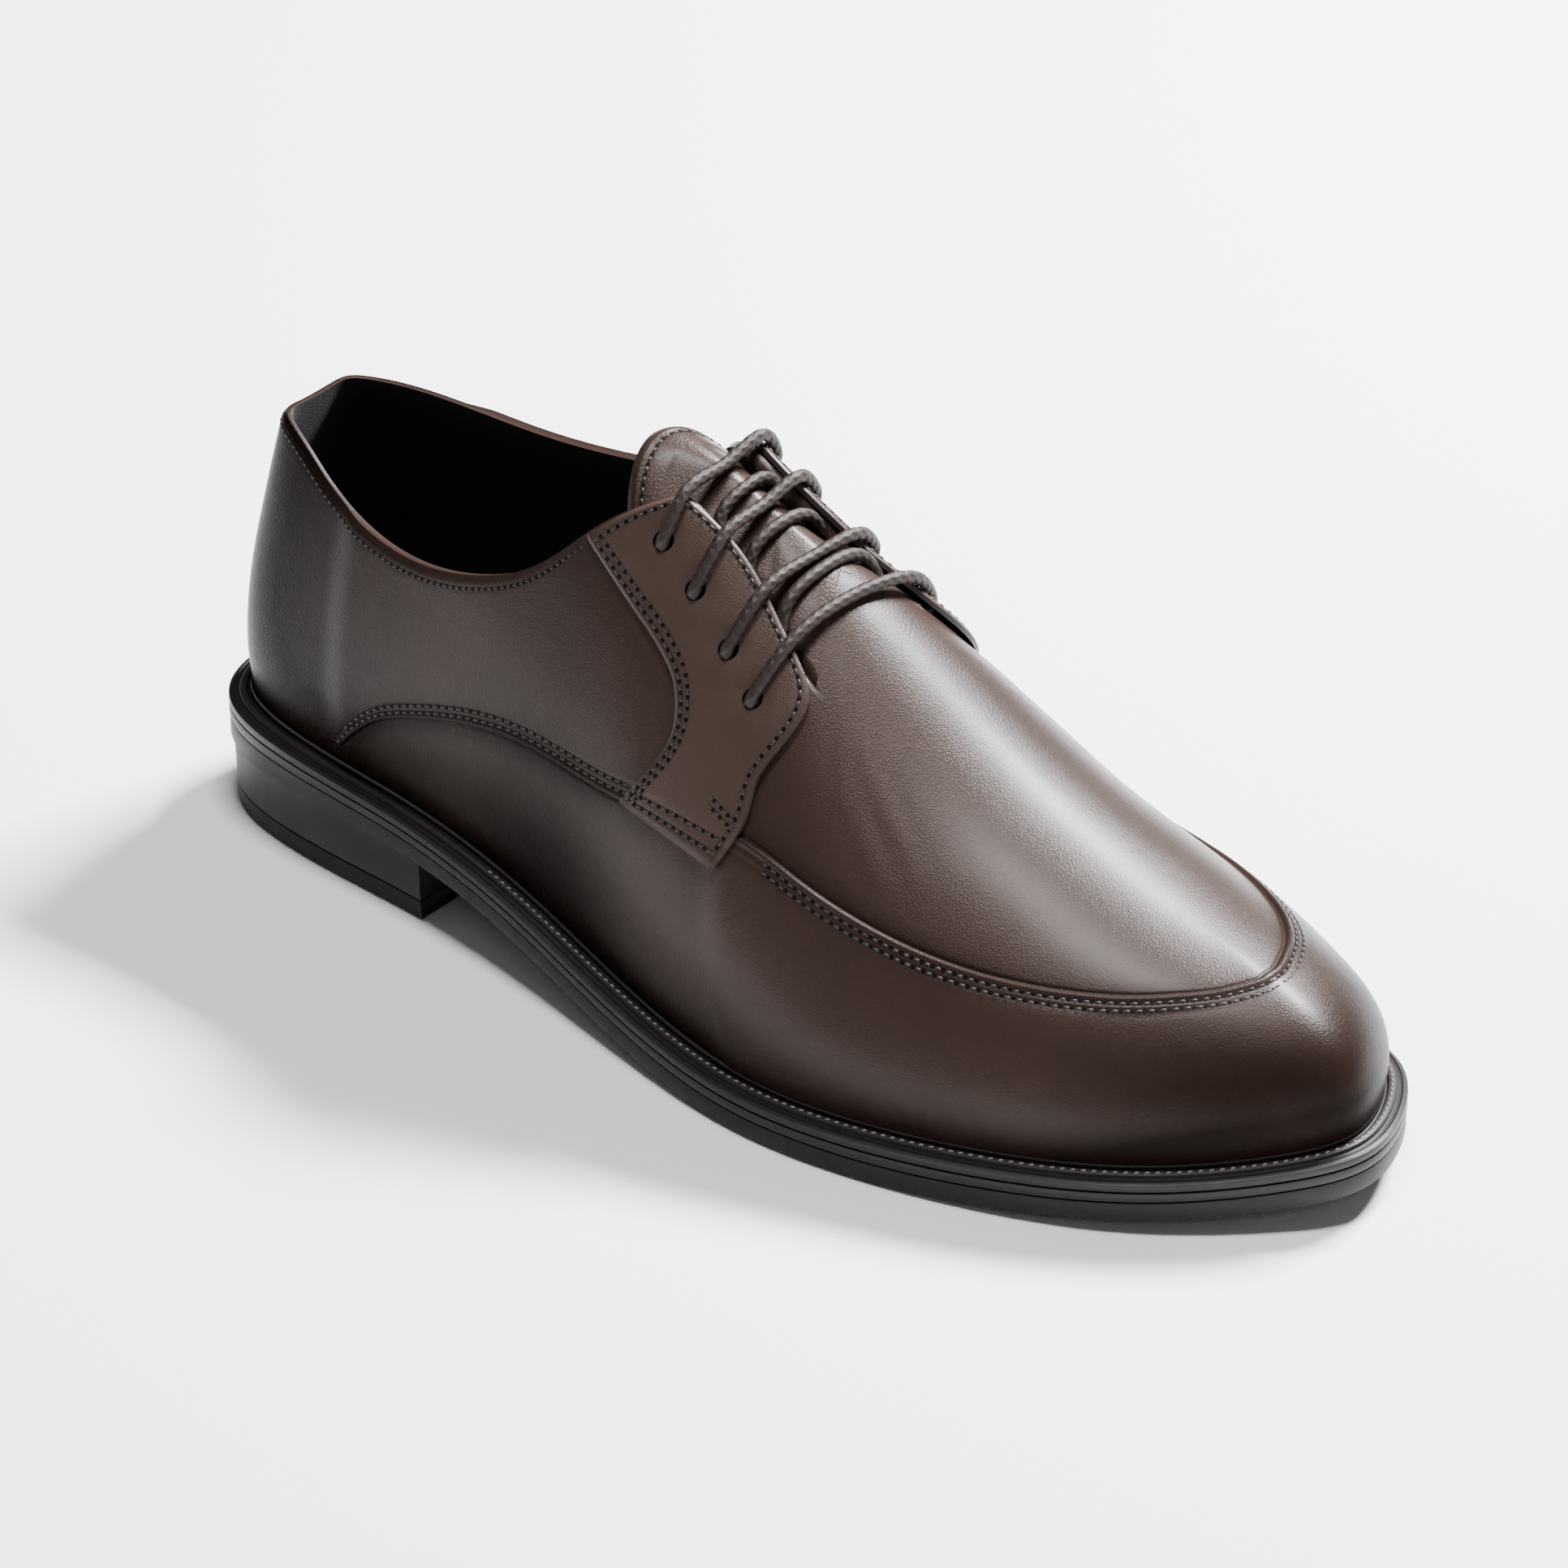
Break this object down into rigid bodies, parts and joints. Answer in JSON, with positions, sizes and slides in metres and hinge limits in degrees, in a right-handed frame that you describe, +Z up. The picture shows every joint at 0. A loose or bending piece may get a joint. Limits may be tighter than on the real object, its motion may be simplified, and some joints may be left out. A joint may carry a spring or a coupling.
{
  "type": "apron toe derby shoe",
  "caption": "Right apron toe derby shoe with open lacing, a low stacked heel and a grooved rubber sole edge, standing empty.",
  "frame": {"origin": "on the ground, at the middle of the shoe's length and width", "axes": "+X towards the toe, +Y towards the inner (medial) side, +Z up"},
  "size_m": [0.304, 0.1088, 0.1216],
  "materials": {
    "upper leather": "smooth dark brown leather with a soft shine",
    "eyestay leather": "smooth dark brown leather with a soft shine",
    "tongue leather": "smooth dark brown leather with a soft shine",
    "sole edge": "dark grey brown, satin",
    "sole rubber": "dark grey brown, matt",
    "top lift rubber": "near black, matt, finely ribbed at its lower edge",
    "insole leather": "near black, matt",
    "lace cord": "round waxed braid, brown"
  },
  "bodies": {
    "root": {"welt": "sole edge", "midsole": "sole edge", "outsole": "sole rubber", "heel_block": "sole rubber", "top_lift": "top lift rubber", "insole": "insole leather", "upper": "upper leather", "eyestay_lateral": "eyestay leather", "eyestay_medial": "eyestay leather", "tongue": "tongue leather", "lace_bar_1": "lace cord", "lace_bar_2": "lace cord", "lace_bar_3": "lace cord", "lace_bar_4": "lace cord", "lace_under_1": "lace cord", "lace_under_2": "lace cord", "lace_under_3": "lace cord"}
  },
  "joints": []
}
